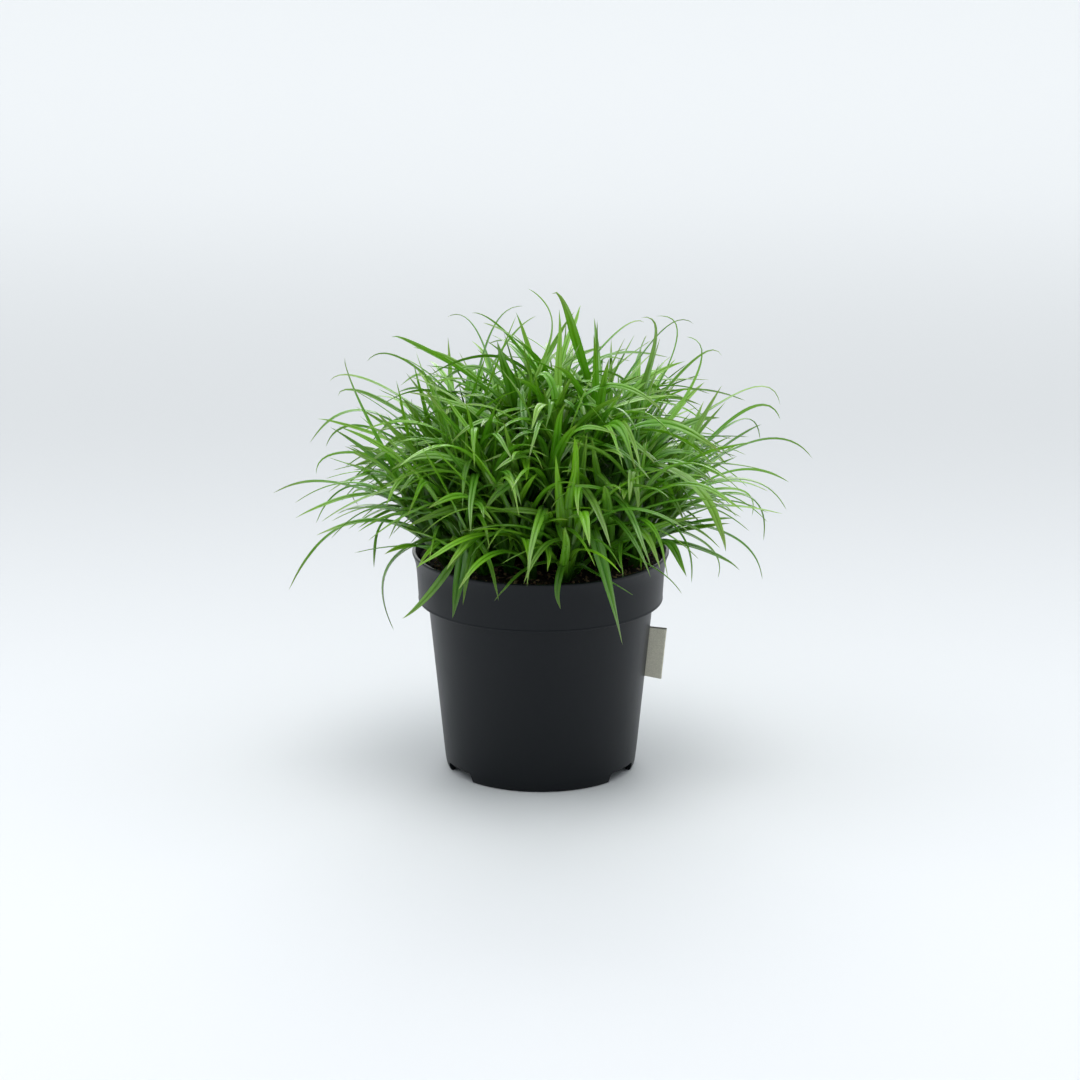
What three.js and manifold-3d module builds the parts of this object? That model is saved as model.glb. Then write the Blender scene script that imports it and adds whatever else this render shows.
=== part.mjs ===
// Potted Zumula umbrella sedge: a dense tuft of leafy shoots in a 12 cm plastic nursery pot.
// Millimetres, +Z up. The origin is on the ground under the middle of the pot, and the front is -Y.

import * as THREE from 'three';
import { OBB } from 'three/addons/math/OBB.js';
import { mergeVertices } from 'three/addons/utils/BufferGeometryUtils.js';
import Module from 'manifold-3d';

const wasm = await Module();
wasm.setup();

// Pot: radii are outer unless the name says inner.
const POT_HEIGHT = 105;
const LIP_RADIUS = 60;
const LIP_DEPTH = 3.4;
const BAND_TOP_RADIUS = 58.2;
const BAND_FOOT_RADIUS = 57.2;
const BAND_FOOT_Z = 81.4;
const BODY_TOP_RADIUS = 52.7;
const BODY_FOOT_RADIUS = 44.8;
const BODY_FOOT_Z = 3;
const STAND_RADIUS = 43.2;
const STAND_WIDTH = 1.6;
const STAND_DRAFT = 0.4;
const FOOT_CHAMFER_OUT = 1.2;
const FOOT_CHAMFER_UP = 0.9;
const BAND_CHAMFER = 0.9;
const LIP_FACE = 1.6;
const LIP_EDGE = 0.6;
const LIP_TOP = 1.4;
const LEDGE_FALL = 0.4;
const WALL = 1.4;
const FLOOR_UNDERSIDE_Z = 5;
const POT_SIDES = 36;
const NOTCH_COUNT = 3;
const NOTCH_FIRST_ANGLE = 60;
const NOTCH_WIDTH = 21;
const NOTCH_HEIGHT = 4.6;
const NOTCH_CORNER = 2.4;
const NOTCH_CORNER_CUT = 0.3 * NOTCH_CORNER;
const NOTCH_CUT_DEPTH = 12;
const DRAIN_COUNT = 6;
const DRAIN_CIRCLE_RADIUS = 31;
const DRAIN_RADIUS = 3.5;
const DRAIN_SIDES = 6;

// Side label: a bare folded tape that stands out from the wall on the +X side.
const TAB_HEIGHT = 24;
const TAB_REACH = 8;
const TAB_THICKNESS = 1.4;
const TAB_BOTTOM_Z = 43;
const TAB_WALL_GAP = 0.3;
const TAB_TOP_SAG = 0.4;
const TAB_FOOT_SAG = 1.6;

// Soil: a plug of potting soil with a slightly mounded, uneven top.
const SOIL_CENTRE_Z = 103;
const SOIL_EDGE_Z = 100.2;
const SOIL_UNEVENNESS = 0.5;
const SOIL_SIDES = 24;
const SOIL_SIDE_GAP = 0.65;
const SOIL_LEDGE_GAP = 0.1;
const SOIL_LEDGE_RISE = 0.5;
const SOIL_TOP_RADIUS = 55.4;
const SOIL_TOP_RING_Z = 99;
const SOIL_RING_RADII = [47.6, 23.2];
const SOIL_FALL = 0.7;
const FIT_GAP = 0.35;

// Shoots: each is one short stem that carries a whorl of narrow leaf blades.
const SHOOT_COUNT = 40;
const ROOT_CIRCLE_RADIUS = 46;
const GOLDEN_ANGLE = 137.508;
const FIRST_SHOOT_ANGLE = 14;
const STEM_SIDES = 3;
const STEM_RADIUS = 2.7;
const HUB_RADIUS = 3;
const STEM_TOP_LENGTH = 3;
const STEM_TWIST = 23;
const BUD_ROWS = 6;
const LOWEST_BUD = 0.3;
const STEM_STRAIGHT = 6;
const ROOT_DEPTH = 11;
const LEAN_CENTRE = 3;
const LEAN_EDGE = 32;
const STEM_RISE_CENTRE = 70.5;
const STEM_RISE_EDGE = 27;
const STEM_RISE_SPREAD = 9;
const LEAN_SPREAD = 4;
const STEM_TURN_SPREAD = 10;

// Blades
const BLADE_LENGTH_MIN = 60;
const BLADE_LENGTH_MAX = 106;
const BLADE_WIDTH_MIN = 2.6;
const BLADE_WIDTH_MAX = 4.9;
const KEEL_DEPTH = 0.95;
const BLADE_GAP = 0.25;
const ROOT_SHARE = 0.4;
const CORNER_TOUCH = 0.001;
const BLADE_TRIES = 150;
const DOME_TOP_Z = 222;
const DOME_REACH = 118;
const DOME_DROP = 62;
const HANG_USUAL_Z = 114;
const HANG_LOWEST_Z = 84;
const HANG_SHARE = 0.06;
const RIM_CLEAR_INNER = 52;
const RIM_CLEAR_OUTER = 63;
const RIM_CLEARANCE = 2.5;
const PATH_CHECKS = 12;
const SPREAD_LOW = 66;
const SPREAD_HIGH = 19;
const DROOP_LOW = 1.35;
const DROOP_HIGH = 0.85;
const ARCHED_DROOP = 0.8;
const LEADER_SHIFT = 14;
const LEADER_FACING = 12;
const LEADER_CHOICES = 3;
const LEADER_ROLL = 24;
const HALF_WAY_SHIFT = 0.6;
const BLADE_ROLL = 28;
const SIDE_TURN = [15, 50];
const OPENING_SPREAD = [8, 20];
const SHORTENING = [1, 0.6];
const LEAST_RISE = [0.1, 0.65];
const SEED = 20822;

// Leading blades as [start, half way, tip, width], chosen by hand.
const LEADERS = [
  [[4, -48, 130], [-2, -90, 142], [-6, -120, 122], 3.6],
  [[-4, 48, 130], [2, 90, 143], [8, 118, 126], 3.6],
  [[-53, -6, 112], [-91, -7, 138], [-124, -8, 134], 5],
  [[-53, -10, 114], [-88, -12, 121], [-117, -14, 89], 4.5],
  [[-59, 4, 162], [-83, 2, 171], [-107, 0, 156], 3.5],
  [[-60, 0, 158], [-80, -2, 163], [-103, -3, 169], 4.5],
  [[-63, 8, 156], [-84, 8, 162], [-100, 8, 152], 3],
  [[-56, 10, 170], [-79, 10, 183], [-98, 10, 183], 3],
  [[-59, 5, 166], [-79, 5, 177], [-94, 5, 177], 3],
  [[-72, -6, 155], [-83, -6, 176], [-90, -6, 198], 4.6],
  [[-43, 20, 173], [-64, 20, 191], [-81, 20, 190], 3],
  [[-34, 10, 184], [-52, 8, 198], [-69, 6, 205], 4.6],
  [[-59, 10, 153], [-61, 10, 195], [-43, 10, 225], 3],
  [[-4, 15, 191], [-17, 12, 206], [-32, 8, 216], 5],
  [[-30, 15, 184], [-18, 15, 197], [-2, 15, 211], 4.4],
  [[-37, 25, 181], [-24, 25, 200], [-8, 25, 213], 2.4],
  [[-19, 30, 195], [-30, 30, 201], [-44, 30, 206], 2.4],
  [[4, 10, 180], [4, 10, 207], [-6, 10, 227], 4.8],
  [[-51, -5, 178], [-50, -5, 193], [-43, -5, 207], 4.2],
  [[-12, -10, 179], [-16, -12, 193], [-20, -14, 208], 4.6],
  [[-54, -10, 131], [-86, -8, 139], [-104, -8, 121], 3],
  [[-54, -5, 144], [-89, -5, 153], [-104, -5, 142], 3],
  [[-52, 10, 126], [-84, 10, 131], [-85, 10, 123], 2.6],
  [[-53, -14, 112], [-70, -14, 114], [-83, -14, 113], 4.6],
  [[-56, -22, 129], [-72, -22, 125], [-77, -22, 102], 3],
  [[-53, -20, 115], [-70, -24, 104], [-68, -26, 73], 4.6],
  [[-55, -30, 114], [-64, -30, 101], [-58, -30, 81], 2.8],
  [[-38, -46, 110], [-51, -54, 100], [-63, -60, 89], 4.8],
  [[-31, -44, 122], [-36, -56, 113], [-40, -66, 91], 5],
  [[-34, -44, 134], [-26, -62, 121], [-19, -68, 100], 5],
  [[7, -42, 107], [-6, -58, 113], [-21, -68, 99], 4.6],
  [[-31, -28, 147], [-48, -32, 157], [-61, -34, 148], 3.6],
  [[-26, -20, 151], [-44, -24, 161], [-61, -28, 153], 3.6],
  [[-3, -30, 152], [-23, -40, 155], [-42, -46, 140], 4.2],
  [[7, -46, 127], [-24, -62, 144], [-54, -66, 133], 4.4],
  [[-5, -40, 126], [-14, -52, 126], [-22, -58, 121], 4],
  [[18, 5, 193], [13, 4, 215], [5, 3, 226], 5],
  [[0, 20, 193], [9, 20, 210], [25, 20, 218], 2.6],
  [[57, 0, 184], [53, 0, 205], [46, 0, 217], 3],
  [[66, 5, 183], [62, 5, 203], [53, 5, 215], 3],
  [[19, 10, 194], [34, 10, 205], [48, 10, 211], 3.4],
  [[38, 15, 190], [54, 15, 204], [71, 15, 209], 2.8],
  [[70, -2, 175], [73, -2, 191], [67, -2, 207], 4],
  [[56, 10, 183], [69, 10, 192], [84, 10, 195], 3.4],
  [[75, 5, 176], [92, 5, 179], [111, 5, 173], 2.8],
  [[74, 0, 162], [94, 0, 171], [111, 0, 167], 4],
  [[70, -8, 147], [87, -8, 158], [102, -8, 167], 4.8],
  [[70, 2, 145], [100, 0, 157], [126, -2, 149], 3.4],
  [[75, 20, 163], [92, 20, 161], [103, 20, 151], 2.6],
  [[63, -8, 132], [92, -8, 141], [114, -8, 126], 4.6],
  [[66, -14, 132], [95, -16, 135], [103, -18, 114], 3.6],
  [[75, 10, 141], [91, 10, 131], [99, 10, 118], 2.6],
  [[54, -40, 161], [73, -48, 145], [84, -54, 119], 4.8],
  [[74, -10, 121], [92, -12, 113], [103, -14, 94], 4.2],
  [[59, -24, 122], [73, -28, 127], [89, -30, 128], 4.4],
  [[61, -20, 111], [76, -22, 111], [92, -24, 101], 3.8],
  [[60, 0, 109], [78, 2, 106], [83, 2, 90], 2.8],
  [[30, -42, 114], [49, -56, 115], [64, -64, 102], 4.4],
  [[24, -46, 139], [58, -64, 136], [68, -70, 109], 4.2],
  [[16, -46, 105], [29, -58, 109], [42, -66, 102], 4.2],
  [[20, -48, 130], [28, -68, 116], [37, -74, 81], 5.6],
  [[42, -34, 160], [43, -50, 153], [44, -56, 140], 4],
  [[23, -34, 149], [31, -44, 149], [33, -48, 141], 3.6],
  [[11, -44, 123], [29, -48, 153], [65, -52, 171], 5],
  [[11, -46, 125], [13, -48, 138], [13, -49, 150], 4],
  [[9, -44, 127], [2, -50, 146], [-18, -54, 159], 4],
  [[8, -50, 104], [8, -58, 109], [9, -65, 97], 3],
];

const UP = new THREE.Vector3(0, 0, 1);
const degrees = THREE.MathUtils.degToRad;
const mix = THREE.MathUtils.lerp;

const materials = {
  pot: new THREE.MeshStandardMaterial({ color: 0x23272b, roughness: 0.5, metalness: 0 }),
  soil: new THREE.MeshStandardMaterial({ color: 0x1d1611, roughness: 0.95, metalness: 0 }),
  tab: new THREE.MeshStandardMaterial({ color: 0xaaa695, roughness: 0.9, metalness: 0 }),
  leaf: new THREE.MeshStandardMaterial({ color: 0x4f9a2c, roughness: 0.45, metalness: 0 }),
};

// Mulberry32, a small seeded random generator, so that the plant grows the same way every time.
function seededRandom(seed) {
  let state = seed;
  return () => {
    state = (state + 0x6d2b79f5) | 0;
    let t = Math.imul(state ^ (state >>> 15), 1 | state);
    t = (t + Math.imul(t ^ (t >>> 7), 61 | t)) ^ t;
    return ((t ^ (t >>> 14)) >>> 0) / 4294967296;
  };
}

const random = seededRandom(SEED);

function between(low, high) {
  return mix(low, high, random());
}

function polar(radius, angle, z) {
  return new THREE.Vector3(radius * Math.cos(degrees(angle)), radius * Math.sin(degrees(angle)), z);
}

// Solids

function toSolid(geometry) {
  const bare = geometry.index ? geometry.toNonIndexed() : geometry.clone();
  bare.deleteAttribute('normal');
  bare.deleteAttribute('uv');
  const merged = mergeVertices(bare, 1e-4);
  const mesh = new wasm.Mesh({
    numProp: 3,
    vertProperties: new Float32Array(merged.attributes.position.array),
    triVerts: new Uint32Array(merged.index.array),
  });
  return new wasm.Manifold(mesh);
}

function toGeometry(solid) {
  const mesh = solid.getMesh();
  const geometry = new THREE.BufferGeometry();
  geometry.setAttribute('position', new THREE.BufferAttribute(new Float32Array(mesh.vertProperties), 3));
  geometry.setIndex(new THREE.BufferAttribute(new Uint32Array(mesh.triVerts), 1));
  geometry.computeVertexNormals();
  return geometry;
}

function named(name, geometry, material) {
  const mesh = new THREE.Mesh(geometry, material);
  mesh.name = name;
  return mesh;
}

function fromTriangles(triangles) {
  const positions = triangles.flat().flatMap((point) => point.toArray());
  const geometry = new THREE.BufferGeometry();
  geometry.setAttribute('position', new THREE.BufferAttribute(new Float32Array(positions), 3));
  return geometry;
}

// The side faces of a tube through rings of points, seen from outside. A last ring of one point
// closes it as a tip. replaceFace may give other triangles for the upper half of a quad.
function tubeFaces(rings, replaceFace = () => null) {
  const faces = [];
  for (let i = 0; i < rings.length - 1; i += 1) {
    const ring = rings[i];
    const next = rings[i + 1];
    for (let k = 0; k < ring.length; k += 1) {
      const after = (k + 1) % ring.length;
      if (next.length === 1) {
        faces.push([ring[k], ring[after], next[0]]);
      } else {
        faces.push([ring[k], ring[after], next[after]]);
        faces.push(...(replaceFace(i, k) ?? [[ring[k], next[after], next[k]]]));
      }
    }
  }
  return faces;
}

// Pot

function wallRadius(z) {
  const t = (z - BODY_FOOT_Z) / (BAND_FOOT_Z - BODY_FOOT_Z);
  return mix(BODY_FOOT_RADIUS, BODY_TOP_RADIUS, t);
}

function makePot() {
  const lipZ = POT_HEIGHT - LIP_DEPTH;
  const outline = [
    [0, FLOOR_UNDERSIDE_Z],
    [STAND_RADIUS - STAND_WIDTH - STAND_DRAFT, FLOOR_UNDERSIDE_Z],
    [STAND_RADIUS - STAND_WIDTH, 0],
    [STAND_RADIUS, 0],
    [STAND_RADIUS + FOOT_CHAMFER_OUT, FOOT_CHAMFER_UP],
    [BODY_FOOT_RADIUS, BODY_FOOT_Z],
    [BODY_TOP_RADIUS, BAND_FOOT_Z],
    [BAND_FOOT_RADIUS - BAND_CHAMFER, BAND_FOOT_Z],
    [BAND_FOOT_RADIUS, BAND_FOOT_Z + BAND_CHAMFER],
    [BAND_TOP_RADIUS, lipZ],
    [LIP_RADIUS, POT_HEIGHT - LIP_FACE],
    [LIP_RADIUS, POT_HEIGHT - LIP_EDGE],
    [LIP_RADIUS - LIP_EDGE, POT_HEIGHT],
    [LIP_RADIUS - LIP_TOP, POT_HEIGHT],
    [BAND_TOP_RADIUS - WALL, lipZ],
    [BAND_FOOT_RADIUS - WALL, BAND_FOOT_Z + WALL],
    [BODY_TOP_RADIUS - WALL, BAND_FOOT_Z + WALL - LEDGE_FALL],
    [wallRadius(FLOOR_UNDERSIDE_Z + WALL) - WALL, FLOOR_UNDERSIDE_Z + WALL],
    [0, FLOOR_UNDERSIDE_Z + WALL],
  ];
  const profile = outline.map(([radius, z]) => new THREE.Vector2(radius, z));
  const lathe = new THREE.LatheGeometry(profile, POT_SIDES);
  lathe.rotateX(Math.PI / 2);
  let solid = toSolid(lathe);

  for (let i = 0; i < NOTCH_COUNT; i += 1) {
    const angle = NOTCH_FIRST_ANGLE - 90 + (i * 360) / NOTCH_COUNT;
    solid = solid.subtract(toSolid(notchCutter(angle)));
  }
  for (let i = 0; i < DRAIN_COUNT; i += 1) {
    const drain = new THREE.CylinderGeometry(DRAIN_RADIUS, DRAIN_RADIUS, 4 * WALL, DRAIN_SIDES);
    drain.rotateX(Math.PI / 2);
    const centre = polar(DRAIN_CIRCLE_RADIUS, (i * 360) / DRAIN_COUNT, FLOOR_UNDERSIDE_Z);
    drain.translate(centre.x, centre.y, centre.z);
    solid = solid.subtract(toSolid(drain));
  }
  return named('pot', toGeometry(solid), materials.pot);
}

// A round-topped slot through the foot ring, pointing out along the given angle.
function notchCutter(angle) {
  const half = NOTCH_WIDTH / 2;
  const shape = new THREE.Shape();
  shape.moveTo(-half, -1);
  shape.lineTo(half, -1);
  shape.lineTo(half, NOTCH_HEIGHT - NOTCH_CORNER);
  shape.lineTo(half - NOTCH_CORNER_CUT, NOTCH_HEIGHT - NOTCH_CORNER_CUT);
  shape.lineTo(half - NOTCH_CORNER, NOTCH_HEIGHT);
  shape.lineTo(NOTCH_CORNER - half, NOTCH_HEIGHT);
  shape.lineTo(NOTCH_CORNER_CUT - half, NOTCH_HEIGHT - NOTCH_CORNER_CUT);
  shape.lineTo(-half, NOTCH_HEIGHT - NOTCH_CORNER);
  const cutter = new THREE.ExtrudeGeometry(shape, { depth: NOTCH_CUT_DEPTH, bevelEnabled: false });
  cutter.translate(0, 0, BODY_FOOT_RADIUS - 0.75 * NOTCH_CUT_DEPTH);
  cutter.rotateX(Math.PI / 2);
  cutter.rotateZ(degrees(angle + 90));
  return cutter;
}

// Side label

function makeTab() {
  const inner = (z) => wallRadius(z) + TAB_WALL_GAP;
  const top = TAB_BOTTOM_Z + TAB_HEIGHT;
  const shape = new THREE.Shape();
  shape.moveTo(inner(TAB_BOTTOM_Z), TAB_BOTTOM_Z);
  shape.lineTo(inner(TAB_BOTTOM_Z) + TAB_REACH, TAB_BOTTOM_Z - TAB_FOOT_SAG);
  shape.lineTo(inner(top) + TAB_REACH, top - TAB_TOP_SAG);
  shape.lineTo(inner(top), top);
  const tape = new THREE.ExtrudeGeometry(shape, { depth: TAB_THICKNESS, bevelEnabled: false });
  tape.translate(0, 0, -TAB_THICKNESS / 2);
  tape.rotateX(Math.PI / 2);
  return named('label_tab', toGeometry(toSolid(tape)), materials.tab);
}

// Soil

function soilTop(radius) {
  return mix(SOIL_CENTRE_Z, SOIL_EDGE_Z, SOIL_FALL * (radius / ROOT_CIRCLE_RADIUS) ** 2);
}

function makeSoil(shoots) {
  const floor = FLOOR_UNDERSIDE_Z + WALL + FIT_GAP;
  const ledge = BAND_FOOT_Z + WALL + SOIL_LEDGE_GAP;
  const inset = WALL + SOIL_SIDE_GAP;
  const profile = [
    [0, floor],
    [wallRadius(floor) - inset, floor],
    [BODY_TOP_RADIUS - inset, ledge],
    [BAND_FOOT_RADIUS - inset, ledge + SOIL_LEDGE_RISE],
    [SOIL_TOP_RADIUS, SOIL_TOP_RING_Z],
    ...SOIL_RING_RADII.map((radius) => [radius, soilTop(radius)]),
    [0, SOIL_CENTRE_Z],
  ].map(([radius, z]) => new THREE.Vector2(radius, z));
  const lathe = new THREE.LatheGeometry(profile, SOIL_SIDES);
  lathe.rotateX(Math.PI / 2);
  const place = lathe.attributes.position;
  for (let i = 0; i < place.count; i += 1) {
    const radius = Math.hypot(place.getX(i), place.getY(i));
    if (place.getZ(i) > SOIL_TOP_RING_Z + FIT_GAP && radius > SOIL_UNEVENNESS) {
      const swell = Math.sin(place.getX(i) / 5.3) + Math.cos(place.getY(i) / 6.1);
      place.setZ(i, place.getZ(i) + SOIL_UNEVENNESS * swell);
    }
  }
  let solid = toSolid(lathe);
  for (const shoot of shoots) {
    const [low, high] = shoot.hole;
    const faces = [[low[0], low[2], low[1]], [high[0], high[1], high[2]], ...tubeFaces(shoot.hole)];
    solid = solid.subtract(toSolid(fromTriangles(faces)));
  }
  return named('soil', toGeometry(solid), materials.soil);
}

// Shoots stand on a sunflower spiral. The outer ones lean out further and are shorter.
// A stem is three-sided, as a sedge's is, and turns a little from each row of buds to the next.
function makeShoot(index) {
  const spread = Math.sqrt((index + 0.5) / SHOOT_COUNT);
  const radius = ROOT_CIRCLE_RADIUS * spread;
  const angle = FIRST_SHOOT_ANGLE + index * GOLDEN_ANGLE;
  const lean = degrees(mix(LEAN_CENTRE, LEAN_EDGE, spread ** 1.4) + between(-1, 1) * LEAN_SPREAD);
  const rise = mix(STEM_RISE_CENTRE, STEM_RISE_EDGE, spread ** 2) + between(-1, 1) * STEM_RISE_SPREAD;
  const length = rise / Math.cos(lean);
  const foot = polar(radius, angle, soilTop(radius));
  const axis = polar(Math.sin(lean), angle + between(-1, 1) * STEM_TURN_SPREAD, Math.cos(lean));
  const phase = between(0, 120);
  const at = (distance) => foot.clone().addScaledVector(axis, distance);

  const rings = [
    ringAround(at(-ROOT_DEPTH), axis, STEM_RADIUS, phase),
    ringAround(at(STEM_STRAIGHT), axis, STEM_RADIUS, phase),
  ];
  for (let row = 0; row <= BUD_ROWS; row += 1) {
    const fraction = mix(LOWEST_BUD, 1, row / BUD_ROWS);
    rings.push(ringAround(at(length * fraction), axis, HUB_RADIUS, phase + row * STEM_TWIST));
  }
  const hole = [
    ringAround(at(-ROOT_DEPTH - FIT_GAP), axis, STEM_RADIUS + 2 * FIT_GAP, phase),
    ringAround(at(STEM_STRAIGHT), axis, STEM_RADIUS + 2 * FIT_GAP, phase),
  ];
  const name = `shoot_${String(index + 1).padStart(2, '0')}`;
  const shoot = { name, axis, rings, hole, top: at(length + STEM_TOP_LENGTH), buds: [] };
  for (let row = 0; row < BUD_ROWS; row += 1) {
    for (let side = 0; side < STEM_SIDES; side += 1) {
      shoot.buds.push(makeBud(shoot, row, side));
    }
  }
  return shoot;
}

function ringAround(centre, axis, radius, turn) {
  const side = new THREE.Vector3(1, 0, 0).addScaledVector(axis, -axis.x).normalize();
  const other = new THREE.Vector3().crossVectors(axis, side);
  const ring = [];
  for (let k = 0; k < STEM_SIDES; k += 1) {
    const angle = degrees(turn + (k * 360) / STEM_SIDES);
    const point = centre.clone().addScaledVector(side, radius * Math.cos(angle));
    ring.push(point.addScaledVector(other, radius * Math.sin(angle)));
  }
  return ring;
}

function middleOf(points) {
  return points.reduce((sum, point) => sum.add(point), new THREE.Vector3()).divideScalar(points.length);
}

// A bud is a triangle of the stem's skin that a blade grows out of. Its corners are the keel's
// below and the right and left edges' above, as seen from outside.
function makeBud(shoot, row, side) {
  const after = (side + 1) % STEM_SIDES;
  const low = shoot.rings[row + 2];
  const high = shoot.rings[row + 3];
  const corners = [low[side], high[after], high[side]];
  const outward = middleOf([low[side], low[after]]).sub(middleOf(low));
  outward.addScaledVector(shoot.axis, -outward.dot(shoot.axis)).normalize();
  return { shoot, row, side, corners, outward, root: middleOf(corners), blade: null };
}

// A blade follows a curve of three control points and lies flat across it. Its section is a
// shallow triangle, with the flat side up and the keel below.
const STRAIGHT_STATIONS = [
  { at: 0.17, width: 0.8 },
  { at: 0.43, width: 1 },
  { at: 0.74, width: 0.68 },
];
const ARCHED_STATIONS = [
  { at: 0.16, width: 0.8 },
  { at: 0.38, width: 1 },
  { at: 0.62, width: 0.86 },
  { at: 0.84, width: 0.46 },
];

function bladeRings(bud, { bend, tip, width, roll, stations }) {
  const path = new THREE.QuadraticBezierCurve3(bud.root, bend, tip);
  const chord = tip.clone().sub(bud.root);
  const across = new THREE.Vector3(-chord.y, chord.x, 0).normalize();
  const outer = stations.map((station) => {
    const centre = path.getPoint(station.at);
    const forward = path.getTangent(station.at);
    const side = across.clone().applyAxisAngle(forward, roll);
    side.addScaledVector(forward, -side.dot(forward)).normalize();
    const below = new THREE.Vector3().crossVectors(side, forward);
    const half = (width * station.width) / 2;
    return [
      centre.clone().addScaledVector(below, KEEL_DEPTH),
      centre.clone().addScaledVector(side, half),
      centre.clone().addScaledVector(side, -half),
    ];
  });
  const [a, b, c] = bud.corners;
  const roots = [[a, b, c], [b, c, a], [c, a, b]].map((root) => [root, ...outer, [tip]]);
  return roots.find((rings) => !crossesItself(rings));
}

// A blade that turns too far in one stretch has side faces that cross.
function crossesItself(rings) {
  for (let i = 0; i < rings.length - 1; i += 1) {
    const near = tubeFaces(rings.slice(i, i + 3));
    for (let j = 0; j < near.length; j += 1) {
      const others = near.slice(j + 1).filter((face) => shared(face, near[j]) < 2);
      if (facesCross([near[j]], others)) {
        return true;
      }
    }
  }
  return false;
}

function shared(face, other) {
  return face.filter((point) => other.includes(point)).length;
}

// The oriented box round the stretch between two rings of a blade or a stem.
function boxRound(ring, next) {
  const points = [...ring, ...next];
  const forward = middleOf(next).sub(middleOf(ring)).normalize();
  const side = ring[1].clone().sub(ring[2]);
  side.addScaledVector(forward, -side.dot(forward)).normalize();
  const axes = [side, forward, new THREE.Vector3().crossVectors(side, forward)];
  const centre = new THREE.Vector3();
  const half = axes.map((axis) => {
    const along = points.map((point) => point.dot(axis));
    const low = Math.min(...along);
    const high = Math.max(...along);
    centre.addScaledVector(axis, (low + high) / 2);
    return (high - low + BLADE_GAP) / 2;
  });
  const turn = new THREE.Matrix3().setFromMatrix4(new THREE.Matrix4().makeBasis(...axes));
  const size = new THREE.Vector3(...half);
  return { reach: size.length(), box: new OBB(centre, size, turn) };
}

function stemPieces(shoot) {
  const rings = [...shoot.rings, [shoot.top]];
  return rings.slice(1).map((ring, i) => {
    return { ...boxRound(rings[i], ring), faces: tubeFaces([rings[i], ring]), shoot };
  });
}

// A piece for each stretch. The first stretch has two boxes, because it narrows fast.
function bladePieces(rings, shoot) {
  const pieces = [];
  for (let i = 0; i < rings.length - 1; i += 1) {
    const faces = tubeFaces([rings[i], rings[i + 1]]);
    if (i === 0) {
      const parting = rings[0].map((point, k) => point.clone().lerp(rings[1][k], ROOT_SHARE));
      pieces.push({ ...boxRound(rings[0], parting), faces, shoot });
      pieces.push({ ...boxRound(parting, rings[1]), faces, shoot });
    } else {
      pieces.push({ ...boxRound(rings[i], rings[i + 1]), faces, shoot });
    }
  }
  return pieces;
}

function edgeCuts(start, end, face) {
  const way = end.clone().sub(start);
  const length = way.length();
  const ray = new THREE.Ray(start, way.normalize());
  const hit = ray.intersectTriangle(...face, false, new THREE.Vector3());
  const distance = hit ? hit.distanceTo(start) : 0;
  return distance > CORNER_TOUCH && distance < length - CORNER_TOUCH;
}

function facesCross(some, others) {
  const cuts = (a, b) => a.some((start, k) => edgeCuts(start, a[(k + 1) % 3], b));
  return some.some((a) => others.some((b) => cuts(a, b) || cuts(b, a)));
}

// Pieces of different shoots keep a gap. Pieces of one shoot may lie close but don't cross.
function collide(a, b) {
  const near = a.reach + b.reach;
  if (a.box.center.distanceToSquared(b.box.center) > near * near || !a.box.intersectsOBB(b.box)) {
    return false;
  }
  return a.shoot !== b.shoot || facesCross(a.faces, b.faces);
}

function domeTop(radius) {
  return DOME_TOP_Z - DOME_DROP * (radius / DOME_REACH) ** 2.2;
}

// A blade keeps over the soil and the rim and off the outside of the pot. Where a lowest height is
// given it keeps above that and inside the dome as well.
function fitsPlant(bud, { bend, tip }, lowest) {
  const path = new THREE.QuadraticBezierCurve3(bud.root, bend, tip);
  const rimTop = POT_HEIGHT + RIM_CLEARANCE;
  for (let i = 1; i <= PATH_CHECKS; i += 1) {
    const point = path.getPoint(i / PATH_CHECKS);
    const radius = Math.hypot(point.x, point.y);
    const overRim = radius < RIM_CLEAR_INNER || radius > RIM_CLEAR_OUTER || point.z > rimTop;
    const overSoil = radius > RIM_CLEAR_OUTER || point.z > soilTop(radius) + RIM_CLEARANCE;
    const inDome = !lowest || (radius < DOME_REACH && point.z < domeTop(radius) && point.z > lowest);
    if (!overRim || !overSoil || !inDome) {
      return false;
    }
  }
  return true;
}

function growBlade(bud, shape, taken, lowest = 0) {
  if (!fitsPlant(bud, shape, lowest)) {
    return false;
  }
  const rings = bladeRings(bud, shape);
  if (!rings) {
    return false;
  }
  const pieces = bladePieces(rings, bud.shoot);
  if (pieces.some((piece) => taken.some((other) => collide(piece, other)))) {
    return false;
  }
  taken.push(...pieces);
  bud.blade = rings;
  return true;
}

// A leading blade grows from the free bud that is nearest to its start and best faces its way.
function growLeader([from, half, end, width], buds, taken) {
  const start = new THREE.Vector3(...from);
  const way = new THREE.Vector3(...half).sub(start).normalize();
  const cost = (bud) => bud.root.distanceTo(start) - LEADER_FACING * bud.outward.dot(way);
  const choices = buds.filter((bud) => !bud.blade).sort((a, b) => cost(a) - cost(b));
  for (const bud of choices.slice(0, LEADER_CHOICES)) {
    for (let i = 0; i < BLADE_TRIES; i += 1) {
      const shift = between(-1, 1) * LEADER_SHIFT * (i / BLADE_TRIES);
      const middle = new THREE.Vector3(...half);
      const tip = new THREE.Vector3(...end);
      middle.y += HALF_WAY_SHIFT * shift;
      tip.y += shift;
      const bend = middle.multiplyScalar(2).addScaledVector(bud.root, -0.5).addScaledVector(tip, -0.5);
      const roll = degrees(between(-1, 1) * LEADER_ROLL);
      if (growBlade(bud, { bend, tip, width, roll, stations: ARCHED_STATIONS }, taken)) {
        return;
      }
    }
  }
}

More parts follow.
